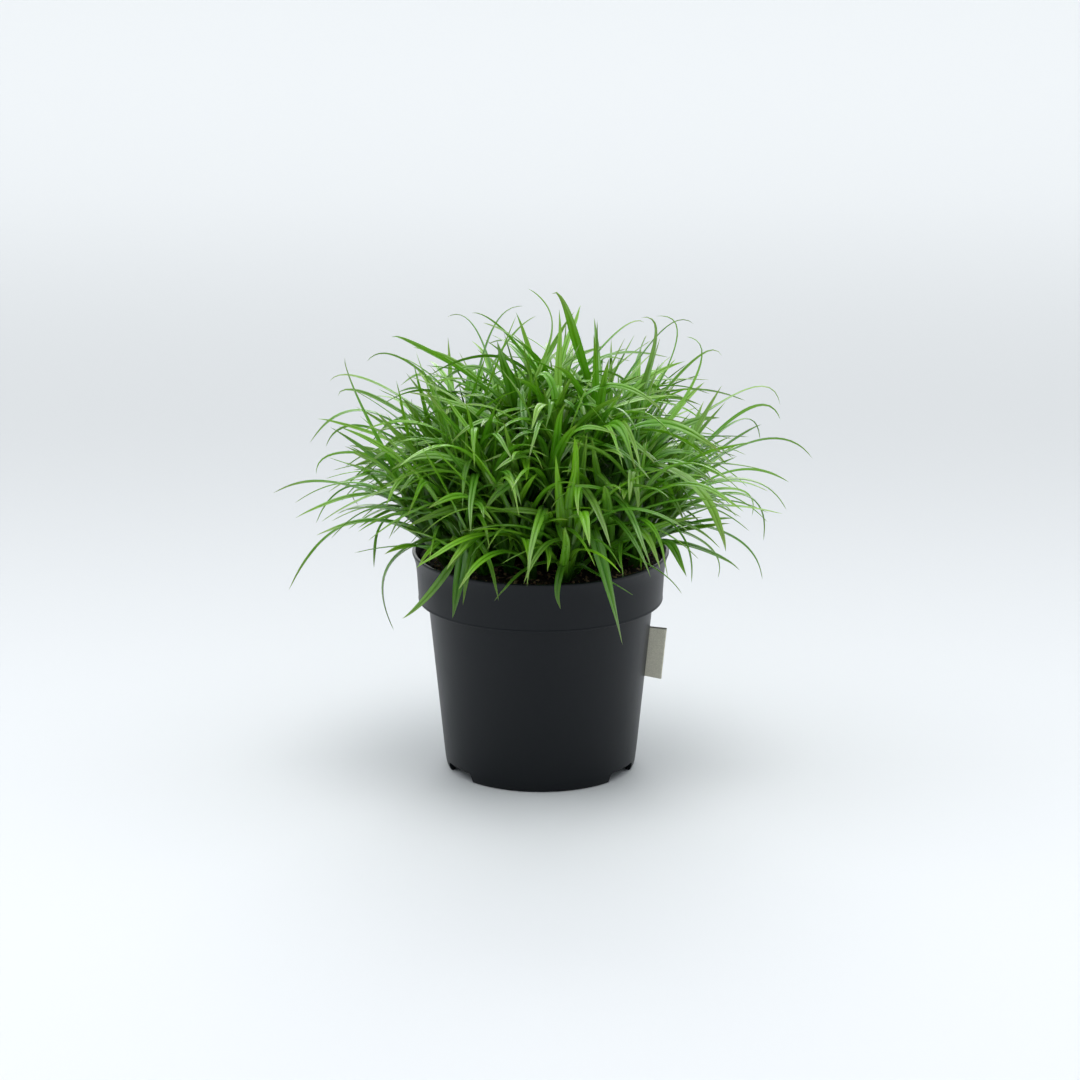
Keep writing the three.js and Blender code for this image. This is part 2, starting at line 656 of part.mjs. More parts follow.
// The other blades spread wide and droop from the low buds, and stand upright from the high ones.
// Each try turns and opens the blade further from its usual way and makes it shorter.
function growByRule(bud, taken) {
  const { axis } = bud.shoot;
  const height = bud.row / (BUD_ROWS - 1);
  const lowest = random() < HANG_SHARE ? HANG_LOWEST_Z : HANG_USUAL_Z;
  for (let i = 0; i < BLADE_TRIES; i += 1) {
    const effort = i / BLADE_TRIES;
    const turn = degrees(between(-1, 1) * mix(...SIDE_TURN, effort));
    const usual = mix(SPREAD_LOW, SPREAD_HIGH, height ** 0.8);
    const open = degrees(usual + between(-1, 1) * mix(...OPENING_SPREAD, effort));
    const outward = bud.outward.clone().applyAxisAngle(axis, turn);
    const start = axis.clone().multiplyScalar(Math.cos(open)).addScaledVector(outward, Math.sin(open));
    start.z = Math.max(start.z, between(...LEAST_RISE));
    start.normalize();
    const length = between(BLADE_LENGTH_MIN, BLADE_LENGTH_MAX) * mix(...SHORTENING, effort);
    const droop = mix(DROOP_LOW, DROOP_HIGH, height) * between(0.5, 1.5);
    const end = start.clone().addScaledVector(UP, -droop).normalize();
    const bend = bud.root.clone().addScaledVector(start, length / 2);
    const tip = bend.clone().addScaledVector(end, length / 2);
    const width = between(BLADE_WIDTH_MIN, BLADE_WIDTH_MAX);
    const roll = degrees(between(-1, 1) * BLADE_ROLL);
    const stations = droop > ARCHED_DROOP ? ARCHED_STATIONS : STRAIGHT_STATIONS;
    if (growBlade(bud, { bend, tip, width, roll, stations }, taken, lowest)) {
      return;
    }
  }
}

function makeShoots() {
  const shoots = [];
  for (let i = 0; i < SHOOT_COUNT; i += 1) {
    shoots.push(makeShoot(i));
  }
  const buds = shoots.flatMap((shoot) => shoot.buds);
  const taken = shoots.flatMap(stemPieces);
  for (const leader of LEADERS) {
    growLeader(leader, buds, taken);
  }
  for (let row = 0; row < BUD_ROWS; row += 1) {
    for (const bud of buds.filter((each) => each.row === row && !each.blade)) {
      growByRule(bud, taken);
    }
  }
  return shoots;
}

// One closed skin: the stem, with a blade drawn out of each bud that has one.
function shootMesh(shoot) {
  const bladeFaces = (i, side) => {
    const bud = shoot.buds.find((each) => each.row === i - 2 && each.side === side);
    return bud?.blade ? tubeFaces(bud.blade) : null;
  };
  const [a, b, c] = shoot.rings[0];
  const faces = [[a, c, b], ...tubeFaces([...shoot.rings, [shoot.top]], bladeFaces)];
  return named(shoot.name, toGeometry(toSolid(fromTriangles(faces))), materials.leaf);
}

const shoots = makeShoots();
const plant = new THREE.Group();
plant.add(makePot(), makeTab(), makeSoil(shoots));
plant.add(...shoots.map(shootMesh));

export default plant;
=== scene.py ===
"""Potted umbrella sedge: what is seen of it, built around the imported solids.

Metres, +Z up, front towards -Y. Lengths below are in millimetres until a mesh is made of them.
Each shoot's solid gives the run of its blades. A finer shoot is drawn along them: a stem, clasping
leaf bases, channelled blades and the small leaves between them.
"""
import math
import random
from collections import namedtuple

import bmesh
import bpy
import numpy as np
from mathutils import Matrix, Vector, noise


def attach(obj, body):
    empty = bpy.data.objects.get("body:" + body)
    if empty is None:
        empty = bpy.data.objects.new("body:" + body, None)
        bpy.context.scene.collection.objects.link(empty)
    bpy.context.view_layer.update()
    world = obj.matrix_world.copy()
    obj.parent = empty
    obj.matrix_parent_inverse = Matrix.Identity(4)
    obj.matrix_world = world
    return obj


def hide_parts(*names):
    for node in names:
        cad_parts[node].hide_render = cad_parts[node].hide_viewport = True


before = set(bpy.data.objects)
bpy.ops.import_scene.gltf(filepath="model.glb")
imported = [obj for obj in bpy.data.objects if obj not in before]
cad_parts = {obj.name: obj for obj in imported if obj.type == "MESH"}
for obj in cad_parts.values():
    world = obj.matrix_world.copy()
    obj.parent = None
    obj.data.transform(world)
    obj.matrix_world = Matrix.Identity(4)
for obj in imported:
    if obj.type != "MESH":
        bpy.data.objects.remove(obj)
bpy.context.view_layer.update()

MM = 0.001
TURN = 2 * math.pi

# The pot, as in the solids
POT_HEIGHT = 105
LIP_RADIUS = 60
LIP_DEPTH = 3.4
BAND_TOP_RADIUS = 58.2
BAND_FOOT_RADIUS = 57.2
BAND_FOOT_Z = 81.4
BODY_TOP_RADIUS = 52.7
BODY_FOOT_RADIUS = 44.8
BODY_FOOT_Z = 3
STAND_RADIUS = 43.2
STAND_WIDTH = 1.6
WALL = 1.4
FLOOR_UNDERSIDE_Z = 5
FLOOR_TOP_Z = FLOOR_UNDERSIDE_Z + WALL
FOOT_BEND_Z = 8
NOTCH_ANGLES = (-30, 90, 210)
NOTCH_WIDTH = 21
NOTCH_HEIGHT = 4.6
NOTCH_CORNER = 2.4
DRAIN_COUNT = 6
DRAIN_CIRCLE_RADIUS = 31
DRAIN_RADIUS = 3.5

# How finely the pot is drawn, and how far its cutters reach
POT_SEGMENTS = 192
DRAIN_SEGMENTS = 24
POT_SHARP_ANGLE = 28
ROUNDING_STEPS = 5
CUT_MARGIN = 1
NOTCH_CUT_FROM = 34
NOTCH_CUT_TO = 48
DRAIN_CUT_LOW_Z = 3
DRAIN_CUT_HIGH_Z = 9

# The side label
TAB_HEIGHT = 24
TAB_REACH = 8
TAB_THICKNESS = 1.4
TAB_BOTTOM_Z = 43
TAPE_THICKNESS = 0.45
TAPE_TOP_SAG = 0.9
TAPE_FOOT_SAG = 1.6
TAPE_BOW = 0.25
TAPE_INSET = 0.2
TAPE_SIDE_POINTS = 12
TAPE_FOLD_POINTS = 9
TAPE_ROWS = 51

# The soil
SOIL_CENTRE_Z = 103
SOIL_EDGE_Z = 101
SOIL_RADIUS = 56.1
SOIL_RINGS = 56
SOIL_SEGMENTS = 150
SOIL_GAP = 0.7
ROOT_CIRCLE_RADIUS = 46
CRUMB_COUNT = 520
CHIP_COUNT = 170
LUMP_SIDES = 6
FIBRE_COUNT = 120
FIBRE_STEPS = 8

# The shoots' solids, and how exactly they are read
SHOOT_COUNT = 40
STRAIGHT_STATIONS = (0.17, 0.43, 0.74)
ARCHED_STATIONS = (0.16, 0.38, 0.62, 0.84)
STEM_SOLID_EDGE = 2.7 * math.sqrt(3)
HUB_EDGE = 3.0 * math.sqrt(3)
EDGE_TOLERANCE = 0.03
WELD_METRES = 2e-6

# The tuft's dome
DOME_TOP_Z = 222
DOME_REACH = 116
DOME_DROP = 62
TUFT_HEART_Z = 90
TUFT_RISE = 110

# A stem: the radius at each share of its length
STEM_SHARES = np.array([0, 0.12, 0.22, 0.34, 0.46, 0.58, 0.7, 0.82, 0.92])
STEM_RADII = np.array([2.3, 2.4, 2.5, 2.55, 2.5, 2.35, 2.1, 1.7, 1.2])
STEM_SIDES = 12
STEM_START = 4

# A leaf's section: the grooved upper face from edge to edge, then the keel under it
SECTION = np.array([-1, -0.64, -0.3, 0, 0.3, 0.64, 1])
RIDGES = np.array([0, 0.85, 1, 0, 1, 0.85, 0])
UNDER = np.array([0.55, 0, -0.55])
UNDER_KEEL = np.array([1.0, 1.7, 1.0])

# A leaf along its length
SHEATH_RADIUS = 2.2
SHEATH_LEAST_WIDTH = 4.6
SHEATH_ARC = 150
BLADE_ARC = 44
TIP_ARC = 30
JOIN = 0.17
GREATEST_TWIST = 64

# How a blade of the solids and a small leaf are drawn: the rings along it, the length of its
# sheath, and how much wider it is than its nominal width
LeafForm = namedtuple("LeafForm", "steps sheath broad")
BLADE_FORM = LeafForm(26, 8.0, 1.25)
SMALL_FORM = LeafForm(18, 5.0, 1.1)

# The small leaves: the ranges of the degrees by which they open from the stem and of their length,
# width and droop, then the lowest height and the furthest radius that they may reach
LeafRule = namedtuple("LeafRule", "opening length width droop lowest furthest")
TOP_LEAF = LeafRule((14, 60), (44, 80), (2.8, 4.4), (0.5, 1.6), 100, 96)
RISING_LEAF = LeafRule((6, 38), (60, 98), (3.0, 4.8), (0.15, 0.85), 100, 102)
BASAL_LEAF = LeafRule((45, 85), (20, 42), (1.8, 3.0), (0.4, 1.2), 90, 60)
TOP_LEAF_SHARES = (0.75, 0.98)
RISING_LEAF_HEIGHTS = (12, 24)
BASAL_LEAF_HEIGHTS = (14, 20)
RISING_LEAF_COUNT = 5
SMALL_LEAF_TRIES = 14
SMALL_LEAF_ROLL = 30
BUD_RADIUS = 1.9

# What the small leaves keep clear of
RIM_FROM = 51
RIM_TO = 64
RIM_CLEARANCE = 2
SOIL_CLEARANCE = 1.5

# The floor, from the middle to each side
FLOOR_REACH = 9000

# Seeds of the random draws
BITS_SEED = 77
SHOOT_SEED = 9000


def smooth(low, high, x):
    t = np.clip((x - low) / (high - low), 0, 1)
    return t * t * (3 - 2 * t)


def blend(a, b, share):
    return a + (b - a) * share


def unit(v):
    return v / np.linalg.norm(v)


def unit_rows(rows):
    return rows / np.linalg.norm(rows, axis=1, keepdims=True)


def turn_about(v, axis, angle):
    """v turned about a unit axis."""
    return (
        v * math.cos(angle)
        + np.cross(axis, v) * math.sin(angle)
        + axis * np.dot(axis, v) * (1 - math.cos(angle))
    )


def circle(radius, count):
    """The (x, y) points of a circle, from +X round."""
    angles = [TURN * k / count for k in range(count)]
    return [(radius * math.cos(angle), radius * math.sin(angle)) for angle in angles]


def new_object(name, points, faces, material, sharp_angle=None, attributes=None):
    """A mesh object from points in millimetres."""
    mesh = bpy.data.meshes.new(name)
    mesh.from_pydata((np.asarray(points) * MM).tolist(), [], faces)
    mesh.polygons.foreach_set("use_smooth", [True] * len(mesh.polygons))
    if sharp_angle is not None:
        mesh.set_sharp_from_angle(angle=math.radians(sharp_angle))
    for key, values in (attributes or {}).items():
        mesh.attributes.new(key, "FLOAT", "POINT").data.foreach_set("value", values)
    mesh.materials.append(material)
    mesh.update()
    piece = bpy.data.objects.new(name, mesh)
    bpy.context.scene.collection.objects.link(piece)
    return piece


def fix_normals(piece):
    bm = bmesh.new()
    bm.from_mesh(piece.data)
    bmesh.ops.recalc_face_normals(bm, faces=bm.faces)
    bm.to_mesh(piece.data)
    bm.free()


# Materials


class Shader:
    """A material's node tree with short ways to add and link nodes."""

    def __init__(self, name):
        self.material = bpy.data.materials.new(name)
        self.material.use_nodes = True
        self.tree = self.material.node_tree
        self.surface = self.tree.nodes["Principled BSDF"]
        self.output = self.tree.nodes["Material Output"]

    def put(self, socket, value):
        """Links a socket into another, or sets it to a number, a vector or an RGB colour."""
        if isinstance(value, bpy.types.NodeSocket):
            self.tree.links.new(value, socket)
        elif socket.type == "RGBA":
            socket.default_value = (*value, 1)
        else:
            socket.default_value = value

    def fill(self, node, inputs):
        for name, value in inputs.items():
            self.put(node.inputs[name.replace("_", " ")], value)

    def add(self, kind, settings=None, **inputs):
        made = self.tree.nodes.new("ShaderNode" + kind)
        for key, value in (settings or {}).items():
            setattr(made, key, value)
        self.fill(made, inputs)
        return made

    def set(self, **inputs):
        self.fill(self.surface, inputs)

    def attribute(self, name):
        return self.add("Attribute", {"attribute_name": name}).outputs["Fac"]

    def object_place(self):
        return self.add("TexCoord").outputs["Object"]

    def noise(self, place, **inputs):
        return self.add("TexNoise", Vector=place, **inputs).outputs["Fac"]

    def math(self, operation, a, b=0.0, clamp=False):
        made = self.add("Math", {"operation": operation, "use_clamp": clamp})
        self.put(made.inputs[0], a)
        self.put(made.inputs[1], b)
        return made.outputs[0]

    def times(self, a, b, clamp=False):
        return self.math("MULTIPLY", a, b, clamp)

    def plus(self, a, b, clamp=False):
        return self.math("ADD", a, b, clamp)

    def minus(self, a, b, clamp=False):
        return self.math("SUBTRACT", a, b, clamp)

    def rise(self, value, low, high, interpolation="SMOOTHSTEP"):
        """0 where the value is low, and 1 where it is high."""
        settings = {"interpolation_type": interpolation}
        made = self.add("MapRange", settings, Value=value, From_Min=low, From_Max=high)
        return made.outputs["Result"]

    def ramp(self, factor, stops, interpolation="LINEAR"):
        made = self.add("ValToRGB", Fac=factor)
        made.color_ramp.interpolation = interpolation
        elements = made.color_ramp.elements
        while len(elements) < len(stops):
            elements.new(0.5)
        for element, (position, colour) in zip(elements, stops):
            element.position = position
            element.color = (*colour, 1)
        return made.outputs["Color"]

    def mix(self, factor, a, b, kind="MIX"):
        made = self.add("Mix", {"data_type": "RGBA", "blend_type": kind}, Factor=factor, A=a, B=b)
        return made.outputs["Result"]

    def bump(self, height, strength, distance):
        made = self.add("Bump", Height=height, Strength=strength, Distance=distance)
        self.set(Normal=made.outputs["Normal"])
        return made.outputs["Normal"]


def leaf_colour(s, along, across, tone, depth):
    """A leaf's green: by its length, by leaf, by its section, and with painted shade deep in the tuft.
    """
    lively, dull, pale = (0.300, 0.690, 0.005), (0.028, 0.210, 0.007), (0.37, 0.56, 0.10)
    # the colours of the painted shade in the groove and of the painted sheen beside it, then the
    # margins' own colour
    grooved, sheen_stripe_colour, edged = (0.026, 0.145, 0.003), (0.31, 0.60, 0.11), (0.26, 0.42, 0.08)
    painted_tuft_shade = (0.006, 0.070, 0.001)
    colour = s.ramp(
        along,
        [
            # painted shade: the sheaths and the stems' feet, low by the soil, are darker
            (0.0, (0.095, 0.24, 0.010)),
            (0.14, (0.180, 0.54, 0.003)),
            (0.42, (0.155, 0.530, 0.003)),
            (0.78, (0.200, 0.480, 0.012)),
            (1.0, (0.33, 0.39, 0.085)),
        ],
    )
    colour = s.mix(s.times(s.rise(tone, 0.45, 1.0), 0.75), colour, lively)
    colour = s.mix(s.times(s.rise(tone, 0.50, 0.0), 0.55), colour, dull)
    # partly painted sheen: some leaves, chosen by their tone, turn paler grey-green, only towards the
    # dome's skin where the sheen falls
    other_tone = s.math("FRACT", s.times(tone, 7.31))
    sheen_paleness = s.times(s.rise(other_tone, 0.5, 1.0), s.minus(1.0, depth))
    colour = s.mix(s.times(sheen_paleness, 0.5), colour, pale)
    side = s.math("ABSOLUTE", across)
    # painted shade: the middle of the groove is darkened, as the crease lies in shade
    groove_shade = s.minus(1.0, s.times(side, 4.5), clamp=True)
    colour = s.mix(s.times(groove_shade, 0.45), colour, grooved)
    # painted sheen: two pale stripes beside the groove stand in for highlights on the leaf's ridges
    sheen_stripe = s.ramp(side, [(0.16, (0, 0, 0)), (0.36, (1, 1, 1)), (0.62, (1, 1, 1)), (0.84, (0, 0, 0))])
    colour = s.mix(s.times(sheen_stripe, 0.42), colour, sheen_stripe_colour)
    edge = s.times(s.minus(side, 0.88, clamp=True), 3.0, clamp=True)
    colour = s.mix(s.times(edge, 0.5), colour, edged)
    # painted shade: leaves are darkened towards the middle of the tuft by the soil
    return s.mix(s.times(depth, 0.86), colour, painted_tuft_shade)


def leaf_material():
    """Green leaf: pale at the base, with painted shade along the groove and painted sheen stripes
    beside it, and fine veins along the blade.
    """
    s = Shader("leaf")
    along, across, tone = s.attribute("along"), s.attribute("across"), s.attribute("tone")
    distance, depth = s.attribute("distance"), s.attribute("depth")
    x, y, z = s.times(across, 5.0), s.times(distance, 40.0), s.times(tone, 37.0)
    place = s.add("CombineXYZ", X=x, Y=y, Z=z).outputs[0]
    veins = s.noise(place, Scale=2.4, Detail=2.0, Roughness=0.5)
    patches = s.noise(place, Scale=0.16, Detail=2.0)
    streaks = s.ramp(veins, [(0.32, (0.3, 0.3, 0.3)), (0.68, (0.75, 0.75, 0.7))])
    blotches = s.ramp(patches, [(0.3, (0.36, 0.4, 0.36)), (0.7, (0.64, 0.62, 0.5))])
    colour = leaf_colour(s, along, across, tone, depth)
    colour = s.mix(0.35, colour, streaks, "OVERLAY")
    colour = s.mix(0.3, colour, blotches, "OVERLAY")
    s.set(
        Base_Color=colour,
        Roughness=s.plus(0.2, s.times(veins, 0.18)),
        Specular_IOR_Level=0.8,
        Coat_Weight=0.3,
        Coat_Roughness=0.22,
    )
    ribs = s.math("SINE", s.times(across, 30.0))
    normal = s.bump(s.plus(s.times(ribs, 0.35), veins), 0.25, 0.00012)
    through = s.mix(0.5, colour, (0.60, 0.82, 0.02))
    thin = s.add("BsdfTranslucent", Color=through, Normal=normal)
    both = s.add("MixShader", Fac=0.3)
    s.put(both.inputs[1], s.surface.outputs[0])
    s.put(both.inputs[2], thin.outputs[0])
    s.put(s.output.inputs["Surface"], both.outputs[0])
    return s.material


def pot_material():
    """Satin near-black plastic with a fine moulded grain and faint scuffs."""
    s = Shader("pot_plastic")
    place = s.object_place()
    grain = s.noise(place, Scale=2600.0, Detail=3.0, Roughness=0.6)
    cloud = s.noise(place, Scale=24.0, Detail=4.0, Roughness=0.55)
    drawn = s.add("Mapping", Vector=place, Scale=(160.0, 160.0, 14.0)).outputs[0]
    scuffs = s.noise(drawn, Scale=3.0, Detail=5.0, Roughness=0.7)
    worn = s.times(s.minus(scuffs, 0.56, clamp=True), 2.2, clamp=True)
    black = s.mix(cloud, (0.0014, 0.0032, 0.0056), (0.0026, 0.0048, 0.0076))
    dulling = s.plus(s.times(cloud, 0.10), s.times(worn, 0.2))
    s.set(
        Base_Color=s.mix(s.times(worn, 0.35), black, (0.014, 0.016, 0.018)),
        Roughness=s.plus(0.36, dulling),
        Specular_IOR_Level=0.26,
    )
    s.bump(grain, 0.18, 0.00012)
    return s.material


def soil_material(name, dark, pale, dark_below, pale_above):
    """Crumbly earth, dark below one level of its noise and pale above another."""
    s = Shader(name)
    place = s.object_place()
    crumbs = s.noise(place, Scale=520.0, Detail=6.0, Roughness=0.7)
    patches = s.noise(place, Scale=85.0, Detail=4.0, Roughness=0.6)
    both = s.times(crumbs, s.times(patches, 2.0))
    colour = s.ramp(both, [(dark_below, dark), (pale_above, pale)])
    s.set(Base_Color=colour, Roughness=0.92, Specular_IOR_Level=0.25)
    s.bump(crumbs, 0.8, 0.0006)
    return s.material


def label_material():
    """Greige woven tape with a painted shadow along its top edge."""
    warp_metres, weft_metres = 0.00055, 0.00042
    s = Shader("label_cloth")
    place = s.object_place()
    parts = s.add("SeparateXYZ", Vector=place)
    warp = s.math("SINE", s.times(parts.outputs["X"], TURN / warp_metres))
    weft = s.math("SINE", s.times(parts.outputs["Z"], TURN / weft_metres))
    weave = s.times(warp, weft)
    fuzz = s.noise(place, Scale=1800.0, Detail=4.0, Roughness=0.7)
    shade = s.plus(s.times(weave, 0.22), fuzz, clamp=True)
    cloth = s.ramp(shade, [(0.2, (0.57, 0.545, 0.44)), (0.8, (0.86, 0.83, 0.70))])
    # painted shadow: a thin dark strip along the tape's top edge
    painted_top_shadow = s.times(s.rise(s.attribute("rise"), 0.98, 0.992), 0.85)
    colour = s.mix(painted_top_shadow, cloth, (0.035, 0.032, 0.028))
    s.set(Base_Color=colour, Roughness=0.9, Specular_IOR_Level=0.2)
    s.bump(s.plus(weave, fuzz), 0.6, 0.00012)
    return s.material


# Pot


def rounded(corners):
    """The outline through corners (radius, z, rounding), each with its corner rounded off."""
    points = []
    for i, (x, z, rounding) in enumerate(corners):
        here = np.array([x, z], float)
        if rounding == 0 or i in (0, len(corners) - 1):
            points.append(here)
            continue
        before = np.array(corners[i - 1][:2], float) - here
        after = np.array(corners[i + 1][:2], float) - here
        reach_before = min(rounding, 0.49 * np.linalg.norm(before))
        reach_after = min(rounding, 0.49 * np.linalg.norm(after))
        start = here + unit(before) * reach_before
        end = here + unit(after) * reach_after
        for k in range(ROUNDING_STEPS + 1):
            t = k / ROUNDING_STEPS
            points.append(start * (1 - t) ** 2 + here * 2 * t * (1 - t) + end * t * t)
    return points


def revolve(outline, segments):
    """A closed solid of revolution. The outline starts and ends on the axis."""
    points = [(0.0, 0.0, outline[0][1])]
    for radius, z in outline[1:-1]:
        points += [(x, y, z) for x, y in circle(radius, segments)]
    points.append((0.0, 0.0, outline[-1][1]))
    rows = len(outline) - 2
    last = len(points) - 1
    faces = []
    for k in range(segments):
        after = (k + 1) % segments
        faces.append((0, 1 + after, 1 + k))
        for row in range(rows - 1):
            a = 1 + row * segments
            b = a + segments
            faces.append((a + k, a + after, b + after, b + k))
        a = 1 + (rows - 1) * segments
        faces.append((a + k, a + after, last))
    return points, faces


def prism(near, far):
    """A closed solid between two like outlines."""
    count = len(near)
    faces = [tuple(range(count - 1, -1, -1)), tuple(range(count, 2 * count))]
    for k in range(count):
        after = (k + 1) % count
        faces.append((k, after, count + after, count + k))
    return near + far, faces


def wall_radius(z):
    return np.interp(z, [BODY_FOOT_Z, BAND_FOOT_Z], [BODY_FOOT_RADIUS, BODY_TOP_RADIUS])


def notch_cutter(degrees):
    """What a drainage notch takes out of the foot, running outwards."""
    half = NOTCH_WIDTH / 2
    corners = [
        (half, -CUT_MARGIN, 0),
        (half, NOTCH_HEIGHT, NOTCH_CORNER),
        (-half, NOTCH_HEIGHT, NOTCH_CORNER),
        (-half, -CUT_MARGIN, 0),
    ]
    angle = math.radians(degrees)
    out = np.array([math.cos(angle), math.sin(angle), 0])
    across = np.array([-math.sin(angle), math.cos(angle), 0])
    up = np.array([0, 0, 1])
    ends = []
    for distance in (NOTCH_CUT_FROM, NOTCH_CUT_TO):
        ends.append([out * distance + across * x + up * z for x, z in rounded(corners)])
    return prism(*ends)


def drain_cutter(centre_x, centre_y):
    """What a drainage hole takes out of the floor."""
    ends = []
    for z in (DRAIN_CUT_LOW_Z, DRAIN_CUT_HIGH_Z):
        ends.append([(centre_x + x, centre_y + y, z) for x, y in circle(DRAIN_RADIUS, DRAIN_SEGMENTS)])
    return prism(*ends)


def cut(piece, cutters):
    """Takes the cutters out of the piece and removes them."""
    for cutter in cutters:
        step = piece.modifiers.new("cut", "BOOLEAN")
        step.operation = "DIFFERENCE"
        step.solver = "EXACT"
        step.object = cutter
    bpy.context.view_layer.update()
    evaluated = piece.evaluated_get(bpy.context.evaluated_depsgraph_get())
    mesh = bpy.data.meshes.new_from_object(evaluated)
    piece.modifiers.clear()
    piece.data = mesh
    for cutter in cutters:
        bpy.data.objects.remove(cutter)


def pot_outline():
    """The shell's corners: under the floor, up the outside, over the lip and down the inside."""
    lip_z = POT_HEIGHT - LIP_DEPTH
    corners = [
        (0, FLOOR_UNDERSIDE_Z, 0),
        (STAND_RADIUS - STAND_WIDTH - 0.4, FLOOR_UNDERSIDE_Z, 0.5),
        (STAND_RADIUS - STAND_WIDTH, 0, 0.25),
        (STAND_RADIUS + 0.5, 0, 0.8),
        (BODY_FOOT_RADIUS - 0.2, 2.2, 2.0),
        (wall_radius(FOOT_BEND_Z), FOOT_BEND_Z, 2.0),
        (BODY_TOP_RADIUS, BAND_FOOT_Z, 0.5),
        (BAND_FOOT_RADIUS, BAND_FOOT_Z, 0.35),
        (BAND_FOOT_RADIUS + 0.02, BAND_FOOT_Z + 0.9, 0.12),
        (BAND_FOOT_RADIUS - 0.1, BAND_FOOT_Z + 1.1, 0.2),
        (BAND_TOP_RADIUS - 0.15, lip_z - 3.5, 6.0),
        (LIP_RADIUS - 0.7, lip_z + 0.9, 1.6),
        (LIP_RADIUS, POT_HEIGHT - 0.9, 0.6),
        (LIP_RADIUS - 0.1, POT_HEIGHT, 0.4),
        (LIP_RADIUS - 1.5, POT_HEIGHT, 0.6),
        (BAND_TOP_RADIUS - WALL, lip_z - 1.0, 1.5),
        (BAND_FOOT_RADIUS - WALL, BAND_FOOT_Z + WALL, 0.4),
        (BODY_TOP_RADIUS - WALL, BAND_FOOT_Z + WALL - 0.4, 0.4),
        (wall_radius(FLOOR_TOP_Z) - WALL, FLOOR_TOP_Z, 1.0),
        (0, FLOOR_TOP_Z, 0),
    ]
    return rounded(corners)


def make_pot(material):
    pot = new_object("pot_shell", *revolve(pot_outline(), POT_SEGMENTS), material)
    solids = [notch_cutter(degrees) for degrees in NOTCH_ANGLES]
    solids += [drain_cutter(x, y) for x, y in circle(DRAIN_CIRCLE_RADIUS, DRAIN_COUNT)]
    cut(pot, [new_object("cutter", *solid, material) for solid in solids])
    pot.data.polygons.foreach_set("use_smooth", [True] * len(pot.data.polygons))
    pot.data.set_sharp_from_angle(angle=math.radians(POT_SHARP_ANGLE))
    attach(pot, "root")
    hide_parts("pot")


# Side label


def tape_middle():
    """The (x, y) points of the folded tape's middle: out from the wall, round the fold and back."""
    half = (TAB_THICKNESS - TAPE_THICKNESS) / 2
    straight = TAB_REACH - half
    middle = [(x, -half) for x in np.linspace(0, straight, TAPE_SIDE_POINTS)]
    for degrees in np.linspace(-90, 90, TAPE_FOLD_POINTS)[1:-1]:
        angle = math.radians(degrees)
        middle.append((straight + half * math.cos(angle), half * math.sin(angle)))
    middle += [(x, half) for x in np.linspace(straight, 0, TAPE_SIDE_POINTS)]
    return np.array(middle)


def make_label(material):
    """A tape folded over on itself, with the fold at its outer end and a slight bow."""
    middle = tape_middle()
    along = unit_rows(np.gradient(middle, axis=0))
    normals = np.stack([along[:, 1], -along[:, 0]], axis=1)
    points, faces, rises = [], [], []
    for v in np.linspace(0, 1, TAPE_ROWS):
        rises += [v] * (2 * len(middle))
        z = TAB_BOTTOM_Z + v * TAB_HEIGHT
        start = wall_radius(z) - TAPE_INSET
        sag = blend(TAPE_FOOT_SAG, TAPE_TOP_SAG, v)
        fray = 0.12 * math.sin(v * 41) + 0.08 * math.sin(v * 97)
        for sign in (1, -1):
            for (x, y), (nx, ny) in zip(middle, normals):
                share = x / TAB_REACH
                bow = TAPE_BOW * math.sin(math.pi * v) * share ** 1.5
                px = start + x + sign * nx * TAPE_THICKNESS / 2 + fray * share * 0.3
                points.append((px, y + sign * ny * TAPE_THICKNESS / 2 - bow, z - sag * share))
    count = len(middle)
    size = 2 * count
    ring = list(range(count)) + list(range(size - 1, count - 1, -1))
    for row in range(TAPE_ROWS - 1):
        low, high = row * size, (row + 1) * size
        for a, b in zip(ring, ring[1:] + ring[:1]):
            faces.append((low + a, low + b, high + b, high + a))
    for row, flip in ((0, True), (TAPE_ROWS - 1, False)):
        low = row * size
        for k in range(count - 1):
            face = (low + k, low + k + 1, low + count + k + 1, low + count + k)
            faces.append(face[::-1] if flip else face)
    tape = new_object("label_tape", points, faces, material, sharp_angle=40, attributes={"rise": rises})
    fix_normals(tape)
    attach(tape, "root")
    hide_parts("label_tab")


# Soil


def soil_level(radius):
    share = (radius / ROOT_CIRCLE_RADIUS) ** 2 * 0.7
    return blend(SOIL_CENTRE_Z, SOIL_EDGE_Z, share)


def soil_height(x, y):
    swells = 0.5 * (math.sin(x / 5.3) + math.cos(y / 6.1))
    crumbs = noise.fractal(Vector((x * 0.35, y * 0.35, 3.1)), 0.8, 2.1, 4)
    clods = noise.voronoi(Vector((x * 0.55, y * 0.55, 7.7)))[0][0]
    return soil_level(math.hypot(x, y)) + swells + 0.9 * crumbs + 0.9 * (0.5 - clods)


